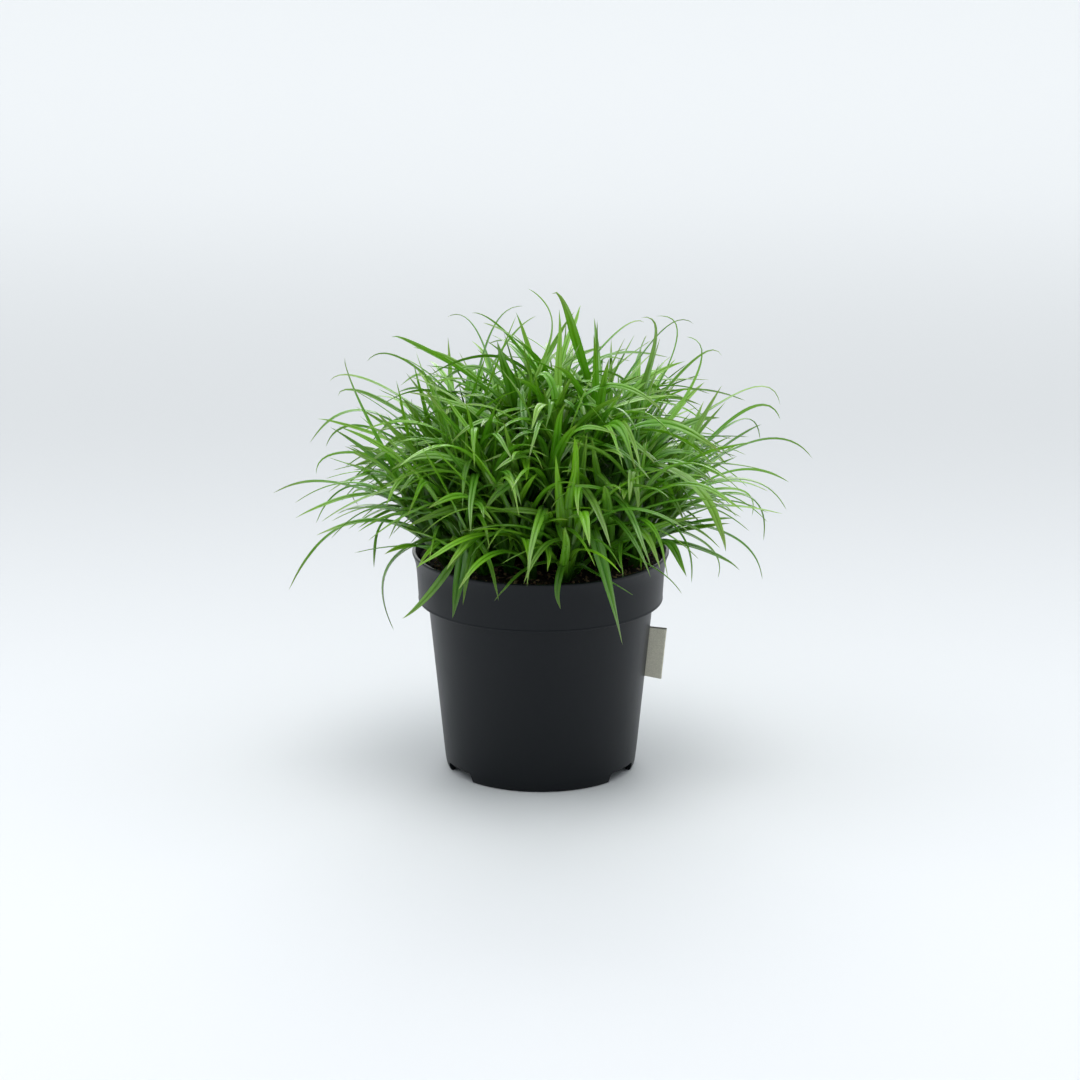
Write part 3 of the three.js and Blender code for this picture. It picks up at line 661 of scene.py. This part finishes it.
def make_soil(material):
    points = [(0.0, 0.0, soil_height(0, 0))]
    for ring in range(SOIL_RINGS):
        radius = SOIL_RADIUS * ((ring + 1) / SOIL_RINGS)
        points += [(x, y, soil_height(x, y)) for x, y in circle(radius, SOIL_SEGMENTS)]
    below = [
        (SOIL_RADIUS - 0.9, BAND_FOOT_Z + 3.4),
        (BODY_TOP_RADIUS - WALL - SOIL_GAP, BAND_FOOT_Z + 1.7),
        (wall_radius(FOOT_BEND_Z) - WALL - SOIL_GAP, 7.2),
    ]
    for radius, z in below:
        points += [(x, y, z) for x, y in circle(radius, SOIL_SEGMENTS)]
    rows = SOIL_RINGS + len(below)
    faces = []
    for k in range(SOIL_SEGMENTS):
        after = (k + 1) % SOIL_SEGMENTS
        faces.append((0, 1 + k, 1 + after))
        for row in range(rows - 1):
            a = 1 + row * SOIL_SEGMENTS
            b = a + SOIL_SEGMENTS
            faces.append((a + k, b + k, b + after, a + after))
    last = 1 + (rows - 1) * SOIL_SEGMENTS
    faces.append(tuple(last + k for k in range(SOIL_SEGMENTS - 1, -1, -1)))
    soil = new_object("soil_bed", points, faces, material, sharp_angle=60)
    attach(soil, "root")
    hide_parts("soil")


def random_place(rng):
    radius = SOIL_RADIUS * 0.975 * math.sqrt(rng.random())
    angle = rng.uniform(0, TURN)
    return radius * math.cos(angle), radius * math.sin(angle)


def tumbled(rng, tilt):
    spin = Matrix.Rotation(rng.uniform(0, TURN), 3, "Z")
    roll = Matrix.Rotation(rng.uniform(-tilt, tilt), 3, "X")
    pitch = Matrix.Rotation(rng.uniform(-tilt, tilt), 3, "Y")
    return roll @ pitch @ spin


class Bits:
    """Collects loose bits of the soil in one mesh."""

    def __init__(self, rng):
        self.rng = rng
        self.points, self.faces = [], []

    def lump(self, centre, size, turn, rows):
        """A rough lump with the half sizes along its own axes, in rows from pole to pole."""
        points, faces, sides = self.points, self.faces, LUMP_SIDES
        base = len(points)
        points.append(centre + turn @ Vector((0, 0, -size[2])))
        for row in range(1, rows):
            latitude = math.pi * row / rows - math.pi / 2
            for k in range(sides):
                angle = TURN * k / sides
                rough = self.rng.uniform(0.75, 1.2)
                x = size[0] * math.cos(latitude) * math.cos(angle) * rough
                y = size[1] * math.cos(latitude) * math.sin(angle) * rough
                points.append(centre + turn @ Vector((x, y, size[2] * math.sin(latitude))))
        points.append(centre + turn @ Vector((0, 0, size[2])))
        for k in range(sides):
            after = (k + 1) % sides
            faces.append((base, base + 1 + after, base + 1 + k))
            for row in range(rows - 2):
                a = base + 1 + row * sides
                faces.append((a + k, a + after, a + sides + after, a + sides + k))
            a = base + 1 + (rows - 2) * sides
            faces.append((a + k, a + after, a + sides))

    def crumb(self):
        x, y = random_place(self.rng)
        size = self.rng.uniform(0.35, 1.1)
        centre = Vector((x, y, soil_height(x, y) + 0.25 * size))
        self.lump(centre, (size, size * 0.85, size * 0.7), tumbled(self.rng, 1.5), 4)

    def chip(self):
        x, y = random_place(self.rng)
        length = self.rng.uniform(1.2, 3.4)
        size = (length, length * self.rng.uniform(0.25, 0.5), self.rng.uniform(0.25, 0.5))
        self.lump(Vector((x, y, soil_height(x, y) + 0.5)), size, tumbled(self.rng, 0.5), 3)

    def fibre(self):
        """A thin bent fibre that lies on the soil."""
        px, py = random_place(self.rng)
        heading = self.rng.uniform(0, TURN)
        length = self.rng.uniform(3, 9)
        bend = self.rng.uniform(-0.9, 0.9)
        base = len(self.points)
        for k in range(FIBRE_STEPS + 1):
            t = k / FIBRE_STEPS
            way = heading + bend * t
            px += math.cos(way) * length / FIBRE_STEPS
            py += math.sin(way) * length / FIBRE_STEPS
            if math.hypot(px, py) > SOIL_RADIUS * 0.98:
                px, py = px * 0.96, py * 0.96
            lift = 0.35 + 0.9 * math.sin(math.pi * t) * abs(bend)
            thick = 0.16 * (1 - 0.6 * t)
            centre = Vector((px, py, soil_height(px, py) + lift))
            across = Vector((-math.sin(way), math.cos(way), 0)) * thick
            for corner in (across, Vector((0, 0, thick)), -across, Vector((0, 0, -thick))):
                self.points.append(centre + corner)
        for k in range(FIBRE_STEPS):
            a = base + 4 * k
            for j in range(4):
                after = (j + 1) % 4
                self.faces.append((a + j, a + after, a + 4 + after, a + 4 + j))
        self.faces.append((base + 3, base + 2, base + 1, base))
        end = base + 4 * FIBRE_STEPS
        self.faces.append((end, end + 1, end + 2, end + 3))


def make_bits(material):
    """Loose crumbs, bark chips and fibres on the soil."""
    mesh = Bits(random.Random(BITS_SEED))
    for _ in range(CRUMB_COUNT):
        mesh.crumb()
    for _ in range(CHIP_COUNT):
        mesh.chip()
    for _ in range(FIBRE_COUNT):
        mesh.fibre()
    points = [tuple(point) for point in mesh.points]
    bits = new_object("soil_bits", points, mesh.faces, material, sharp_angle=50)
    fix_normals(bits)
    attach(bits, "root")


# What the solids say of a shoot


def curve_point(root, bend, tip, t):
    """A point on a blade's curve: it leaves the root towards the bend and reaches the tip from it."""
    return (1 - t) ** 2 * root + 2 * t * (1 - t) * bend + t * t * tip


def curve_slope(root, bend, tip, t):
    return (1 - t) * (bend - root) + t * (tip - bend)


def level_side(root, tip):
    """The level direction across a blade's run."""
    chord = tip - root
    return unit(np.array([-chord[1], chord[0], 0]))


def coordinates(ring):
    return [np.array(v.co) / MM for v in sorted(ring, key=lambda v: v.index)]


def equal_sides(ring, length):
    a, b, c = coordinates(ring)
    sides = (np.linalg.norm(a - b), np.linalg.norm(b - c), np.linalg.norm(c - a))
    return all(abs(side - length) < EDGE_TOLERANCE for side in sides)


def read_shoot(node):
    """The stem's foot and top and each blade's rings, root first, from a shoot's solid."""
    bm = bmesh.new()
    bm.from_mesh(node.data)
    bmesh.ops.remove_doubles(bm, verts=bm.verts, dist=WELD_METRES)
    bm.verts.index_update()
    foot, top, blades = None, None, []
    for face in bm.faces:
        if equal_sides(face.verts, STEM_SOLID_EDGE):
            centre = np.mean(coordinates(face.verts), axis=0)
            if foot is None or centre[2] < foot[2]:
                foot = centre
    for tip in bm.verts:
        if len(tip.link_edges) != 3:
            continue
        ring = {edge.other_vert(tip) for edge in tip.link_edges}
        if equal_sides(ring, HUB_EDGE):
            top = np.array(tip.co) / MM
            continue
        rings, before = [coordinates([tip])], {tip}
        while len(ring) == 3:
            rings.append(coordinates(ring))
            behind = {edge.other_vert(v) for v in ring for edge in v.link_edges}
            before, ring = ring, behind - ring - before
        if len(rings) in (len(STRAIGHT_STATIONS) + 2, len(ARCHED_STATIONS) + 2):
            blades.append(rings[::-1])
    bm.free()
    return foot, top, blades


def upper_edge(ring, level):
    """The ends of the ring's most level edge, which is the blade's width there."""

    def levelness(pair):
        edge = pair[0] - pair[1]
        return abs(np.dot(unit(edge), level)) + 0.01 * np.linalg.norm(edge)

    return max([(ring[0], ring[1]), (ring[1], ring[2]), (ring[2], ring[0])], key=levelness)


def fit_blade(rings):
    """The curve, width and roll that a blade's rings were drawn with."""
    root, tip = np.mean(rings[0], axis=0), rings[-1][0]
    stations = STRAIGHT_STATIONS if len(rings) == len(STRAIGHT_STATIONS) + 2 else ARCHED_STATIONS
    level = level_side(root, tip)
    middles, sides, widths = [], [], []
    for ring in rings[1:-1]:
        right, left = upper_edge(ring, level)
        across = right - left
        middles.append((right + left) / 2)
        sides.append(unit(across) * (1 if np.dot(across, level) > 0 else -1))
        widths.append(np.linalg.norm(across))
    top, bottom = np.zeros(3), 0.0
    for at, middle in zip(stations, middles):
        weight = 2 * at * (1 - at)
        top += weight * (middle - (1 - at) ** 2 * root - at * at * tip)
        bottom += weight * weight
    bend = top / bottom
    widest = int(np.argmax(widths))
    side = sides[widest]
    forward = unit(curve_slope(root, bend, tip, stations[widest]))
    flat = unit(level - forward * np.dot(level, forward))
    roll = math.atan2(np.dot(np.cross(flat, side), forward), np.dot(flat, side))
    return root, bend, tip, widths[widest], roll


# Shoots


def joining_point(start, leaving, end, arriving, t):
    """A point on the smooth run between two points, with the directions it has at them."""
    pull = np.linalg.norm(end - start)
    from_start = (2 * t**3 - 3 * t**2 + 1) * start + (t**3 - 2 * t**2 + t) * pull * leaving
    return from_start + (-2 * t**3 + 3 * t**2) * end + (t**3 - t**2) * pull * arriving


def leaf_path(stem, root, bend, tip, form):
    """Points up the sheath and out along the blade, how far along each is, and the side it is on."""
    foot, axis = stem
    height = np.dot(root - foot, axis)
    outward = root - foot - axis * height
    outward = unit(outward - axis * np.dot(outward, axis))
    start = foot + axis * (height - form.sheath) + outward * SHEATH_RADIUS
    landing = curve_point(root, bend, tip, JOIN)
    heading = unit(curve_slope(root, bend, tip, JOIN))
    fine = [joining_point(start, axis, landing, heading, t) for t in np.linspace(0, 1, 16)[:-1]]
    fine += [curve_point(root, bend, tip, t) for t in np.linspace(JOIN, 1, 40)]
    fine = np.array(fine)
    steps = np.linalg.norm(np.diff(fine, axis=0), axis=1)
    lengths = np.concatenate([[0], np.cumsum(steps)])
    reached = np.linspace(0, 1, form.steps + 1) ** 0.96 * lengths[-1]
    path = np.stack([np.interp(reached, lengths, fine[:, k]) for k in range(3)], axis=1)
    return path, reached, outward


def leaf_ring(middle, side, up, sway, width, arc, ridge, thick):
    """The points round a leaf's section, which is bent to the arc and shifted by the sway."""
    half, bow = width / 2, width / arc

    def at(u, lift):
        angle = u * half / bow
        shifted = middle + side * (bow * np.sin(angle)) + side * sway
        return shifted + up * (bow * (1 - np.cos(angle)) + lift)

    above = [at(u, ridge * width * share) for u, share in zip(SECTION, RIDGES)]
    below = [at(u, 0.5 * ridge * width * abs(u) - thick * keel) for u, keel in zip(UNDER, UNDER_KEEL)]
    return above + below


def leaf_widths(from_bud, width, form):
    """Widths along a leaf: the sheath's, then the blade's, which narrows to its tip."""
    taper = np.clip(1 - np.clip(from_bud, 0, 1) ** 2.9, 0, 1) ** 0.95
    blade = width * form.broad * (0.74 + 0.26 * smooth(0, 0.3, from_bud)) * taper
    sheath = max(SHEATH_LEAST_WIDTH, 1.15 * width)
    return blend(blade, sheath, 1 - smooth(-0.06, 0.16, from_bud))


class ShootMesh:
    """Collects a shoot's stem and blades, with what the leaf material reads of each point."""

    def __init__(self):
        self.points, self.faces = [], []
        self.along, self.across, self.tone, self.distance = [], [], [], []
        self.count = 0

    def skin(self, loops, along, across, tone, distance, tip):
        """Skins loops of points. The first is capped and the last is drawn to the tip."""
        base, size = self.count, loops.shape[1]
        self.points.append(loops.reshape(-1, 3))
        self.along.append(np.repeat(along, size))
        self.distance.append(np.repeat(distance, size))
        self.across.append(np.tile(across, len(loops)))
        self.tone.append(np.full(len(loops) * size, tone))
        self.count += len(loops) * size
        for row in range(len(loops) - 1):
            a = base + row * size
            b = a + size
            for k in range(size):
                after = (k + 1) % size
                self.faces.append((a + k, b + k, b + after, a + after))
        self.faces.append(tuple(base + k for k in range(size)))
        self.points.append(np.array([tip]))
        self.along.append([1.0])
        self.distance.append([distance[-1]])
        self.across.append([0.0])
        self.tone.append([tone])
        last = base + (len(loops) - 1) * size
        for k in range(size):
            self.faces.append((last + k, self.count, last + (k + 1) % size))
        self.count += 1

    def blade(self, stem, root, bend, tip, width, roll, rng, form=BLADE_FORM):
        """One leaf: it starts as a sheath round the stem, opens at the bud and runs to its tip."""
        path, reached, outward = leaf_path(stem, root, bend, tip, form)
        from_bud = (reached - form.sheath) / (reached[-1] - form.sheath)
        forward = unit_rows(np.gradient(path, axis=0))
        level = level_side(root, tip)
        round_stem = np.cross(stem[1], outward)
        sway = rng.uniform(-1, 1) * 0.9
        wave = rng.uniform(0, TURN)
        twist = rng.uniform(-1, 1) * math.radians(GREATEST_TWIST)
        opened = smooth(-0.02, 0.3, from_bud)
        widths = leaf_widths(from_bud, width, form)
        arcs = np.radians(blend(SHEATH_ARC, BLADE_ARC, opened))
        arcs = blend(arcs, np.radians(TIP_ARC), smooth(0.3, 0.7, from_bud))
        ridges = 0.095 * smooth(0.05, 0.25, from_bud)
        thicks = 0.34 * (1 - 0.55 * smooth(0.2, 1, from_bud))
        sway_share = smooth(0.1, 0.4, from_bud) * (1 - smooth(0.75, 1, from_bud))
        sways = np.sin(from_bud * 5.5 + wave) * sway_share * sway
        loops = []
        for i in range(form.steps):
            ahead = forward[i]
            turned = turn_about(level, ahead, roll + twist * smooth(0.15, 1, from_bud[i]))
            side = round_stem * (1 - opened[i]) + turned * opened[i]
            side = unit(side - ahead * np.dot(side, ahead))
            up = np.cross(ahead, side)
            section = (widths[i], arcs[i], ridges[i], thicks[i])
            loops.append(leaf_ring(path[i], side, up, sways[i], *section))
        along = np.clip(from_bud[: form.steps], 0, 1)
        across = np.concatenate([SECTION, UNDER])
        self.skin(np.array(loops), along, across, rng.random(), reached[: form.steps] * MM, tip)

    def stem(self, foot, top, rng):
        """A rounded three-sided stem, thickest where the leaf bases wrap it."""
        axis = unit(top - foot)
        length = np.linalg.norm(top - foot)
        side = unit(np.cross(axis, np.array([0.0, 1.0, 0.0])))
        other = np.cross(axis, side)
        turn = rng.uniform(0, TURN)
        loops = []
        for share, radius in zip(STEM_SHARES, STEM_RADII):
            middle = foot + axis * length * share
            ring = []
            for k in range(STEM_SIDES):
                angle = -TURN * k / STEM_SIDES
                reach = radius * (1 + 0.07 * math.cos(3 * (angle + turn)))
                ring.append(middle + side * reach * math.cos(angle) + other * reach * math.sin(angle))
            loops.append(ring)
        along = np.linspace(0.0, 0.1, len(loops))
        across = np.sin(np.arange(STEM_SIDES) * 2.4) * 0.6
        self.skin(np.array(loops), along, across, rng.random(), STEM_SHARES * length * MM, top)


def dome_top(radius):
    return DOME_TOP_Z - DOME_DROP * (radius / DOME_REACH) ** 2.2


def depth_in_tuft(points):
    """1 at the middle of the tuft by the soil, falling to 0 at the dome's skin."""
    from_heart = (points - (0, 0, TUFT_HEART_Z)) / (DOME_REACH, DOME_REACH, TUFT_RISE)
    return 1 - smooth(0.3, 0.95, np.linalg.norm(from_heart, axis=1))


def fits(root, bend, tip, rule):
    """True if a leaf keeps over the soil, clear of the rim and inside the dome."""
    for k in range(1, 11):
        x, y, z = curve_point(root, bend, tip, k / 10)
        radius = math.hypot(x, y)
        if RIM_FROM < radius < RIM_TO and z < POT_HEIGHT + RIM_CLEARANCE:
            return False
        if radius < RIM_TO and z < soil_level(radius) + SOIL_CLEARANCE:
            return False
        if radius > rule.furthest or z > dome_top(radius) or z < rule.lowest:
            return False
    return True


def small_leaf(mesh, stem, heights, rule, rng):
    """A leaf placed by a rule, at a height on the stem, if one fits within a few tries."""
    foot, axis = stem
    for _ in range(SMALL_LEAF_TRIES):
        around = rng.uniform(0, TURN)
        side = unit(np.cross(axis, np.array([0.0, 1.0, 0.0])))
        outward = side * math.cos(around) + np.cross(axis, side) * math.sin(around)
        opening = math.radians(rng.uniform(*rule.opening))
        way = unit(axis * math.cos(opening) + outward * math.sin(opening))
        length = rng.uniform(*rule.length)
        end_way = unit(way - np.array([0, 0, rng.uniform(*rule.droop)]))
        root = foot + axis * rng.uniform(*heights) + outward * BUD_RADIUS
        bend = root + way * length / 2
        tip = bend + end_way * length / 2
        if fits(root, bend, tip, rule):
            roll = math.radians(rng.uniform(-SMALL_LEAF_ROLL, SMALL_LEAF_ROLL))
            mesh.blade(stem, root, bend, tip, rng.uniform(*rule.width), roll, rng, SMALL_FORM)
            return


def make_shoot(index, material):
    name = f"shoot_{index:02d}"
    rng = random.Random(SHOOT_SEED + index)
    foot, top, blades = read_shoot(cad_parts[name])
    axis = unit(top - foot)
    length = np.linalg.norm(top - foot)
    stem = (foot, axis)
    mesh = ShootMesh()
    mesh.stem(foot + axis * STEM_START, top, rng)
    for rings in blades:
        mesh.blade(stem, *fit_blade(rings), rng)
    top_leaf_count = round(2 + 6 * float(smooth(130, 160, top[2])))
    top_leaf_heights = [share * length for share in TOP_LEAF_SHARES]
    for _ in range(top_leaf_count):
        small_leaf(mesh, stem, top_leaf_heights, TOP_LEAF, rng)
    for _ in range(RISING_LEAF_COUNT):
        small_leaf(mesh, stem, RISING_LEAF_HEIGHTS, RISING_LEAF, rng)
    small_leaf(mesh, stem, BASAL_LEAF_HEIGHTS, BASAL_LEAF, rng)
    points = np.concatenate(mesh.points)
    read_by_material = {
        "along": np.concatenate(mesh.along),
        "across": np.concatenate(mesh.across),
        "tone": np.concatenate(mesh.tone),
        "distance": np.concatenate(mesh.distance),
        # how much painted shade each leaf point gets, deep in the tuft
        "depth": depth_in_tuft(points),
    }
    shoot = new_object(f"sedge_{name}", points, mesh.faces, material, 48, read_by_material)
    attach(shoot, "root")
    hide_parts(name)


# Stage, light and camera. The lamps and the camera are placed in metres


def make_floor():
    """A pale floor with painted shade: a little darker some way behind the pot than near it or far off.
    """
    s = Shader("studio_floor")
    place = s.add("SeparateXYZ", Vector=s.object_place())
    # painted shade: the dip in the ramp darkens the floor in a band behind the pot
    shade = s.ramp(
        s.rise(place.outputs["Y"], -0.15, 2.4, "LINEAR"),
        [
            (0.0, (0.740, 0.755, 0.775)),
            (0.14, (0.690, 0.704, 0.722)),
            (0.33, (0.495, 0.506, 0.516)),
            (0.6, (0.725, 0.740, 0.754)),
            (1.0, (0.720, 0.735, 0.749)),
        ],
        "B_SPLINE",
    )
    s.set(Base_Color=shade, Roughness=0.8, Specular_IOR_Level=0.0)
    corners = [
        (-FLOOR_REACH, -FLOOR_REACH, 0),
        (FLOOR_REACH, -FLOOR_REACH, 0),
        (FLOOR_REACH, FLOOR_REACH, 0),
        (-FLOOR_REACH, FLOOR_REACH, 0),
    ]
    floor = new_object("studio_floor", corners, [(0, 1, 2, 3)], s.material)


def make_world():
    """A soft sky, brighter towards the back."""
    world = bpy.data.worlds.new("studio")
    world.use_nodes = True
    nodes, links = world.node_tree.nodes, world.node_tree.links
    background = nodes["Background"]
    background.inputs["Color"].default_value = (0.86, 0.94, 1.0, 1)
    direction = nodes.new("ShaderNodeTexCoord")
    parts = nodes.new("ShaderNodeSeparateXYZ")
    strength = nodes.new("ShaderNodeMapRange")
    for name, value in (("From Min", -1.0), ("From Max", 1.0), ("To Min", 0.26), ("To Max", 0.60)):
        strength.inputs[name].default_value = value
    links.new(direction.outputs["Generated"], parts.inputs[0])
    links.new(parts.outputs["Y"], strength.inputs["Value"])
    links.new(strength.outputs["Result"], background.inputs["Strength"])
    bpy.context.scene.world = world


def add_lamp(name, kind, energy, place, target, **settings):
    lamp = bpy.data.lights.new(name, kind)
    lamp.energy = energy
    for key, value in settings.items():
        setattr(lamp, key, value)
    item = bpy.data.objects.new(name, lamp)
    item.location = place
    item.rotation_euler = (Vector(target) - Vector(place)).to_track_quat("-Z", "Y").to_euler()
    bpy.context.scene.collection.objects.link(item)


def add_sun(name, energy, direction, degrees, colour):
    """A sun that shines from the direction, as wide as the angle."""
    add_lamp(name, "SUN", energy, direction, (0, 0, 0), angle=math.radians(degrees), color=colour)


def add_box(name, energy, place):
    """A square soft box that faces the tuft."""
    box = {"shape": "RECTANGLE", "size": 1.2, "size_y": 1.2, "color": (0.95, 0.98, 1.0)}
    add_lamp(name, "AREA", energy, place, (0, 0, 0.12), **box)


def make_light():
    add_sun("top_sun", 1.22, (-0.02, 0.10, 1.0), 104, (1.0, 0.995, 0.985))
    add_sun("key_sun", 0.9, (0.05, -0.14, 1.0), 34, (1.0, 0.99, 0.97))
    add_box("left_box", 3.4, (-1.3, 0.0, 0.9))
    add_box("right_box", 2.6, (1.4, 0.1, 0.9))
    add_sun("back_sun", 1.4, (0.0, 1.0, 0.42), 46, (1.0, 1.0, 1.0))


def make_camera():
    elevation, distance = math.radians(15.9), 2.0
    target = Vector((-0.0003, 0, 0.1092))
    camera = bpy.data.cameras.new("camera")
    camera.sensor_width = 36
    camera.lens = 142.9
    item = bpy.data.objects.new("camera", camera)
    item.location = target + Vector((0, -math.cos(elevation), math.sin(elevation))) * distance
    item.rotation_euler = (target - item.location).to_track_quat("-Z", "Y").to_euler()
    bpy.context.scene.collection.objects.link(item)
    bpy.context.scene.camera = item


make_camera()
make_floor()
make_world()
make_light()
bpy.context.scene.view_settings.view_transform = "Standard"

make_pot(pot_material())
make_label(label_material())
make_soil(soil_material("potting_soil", (0.006, 0.004, 0.003), (0.045, 0.028, 0.017), 0.35, 0.9))
make_bits(soil_material("soil_bits", (0.020, 0.012, 0.007), (0.42, 0.27, 0.16), 0.3, 0.85))
leaf = leaf_material()
for shoot_index in range(1, SHOOT_COUNT + 1):
    make_shoot(shoot_index, leaf)
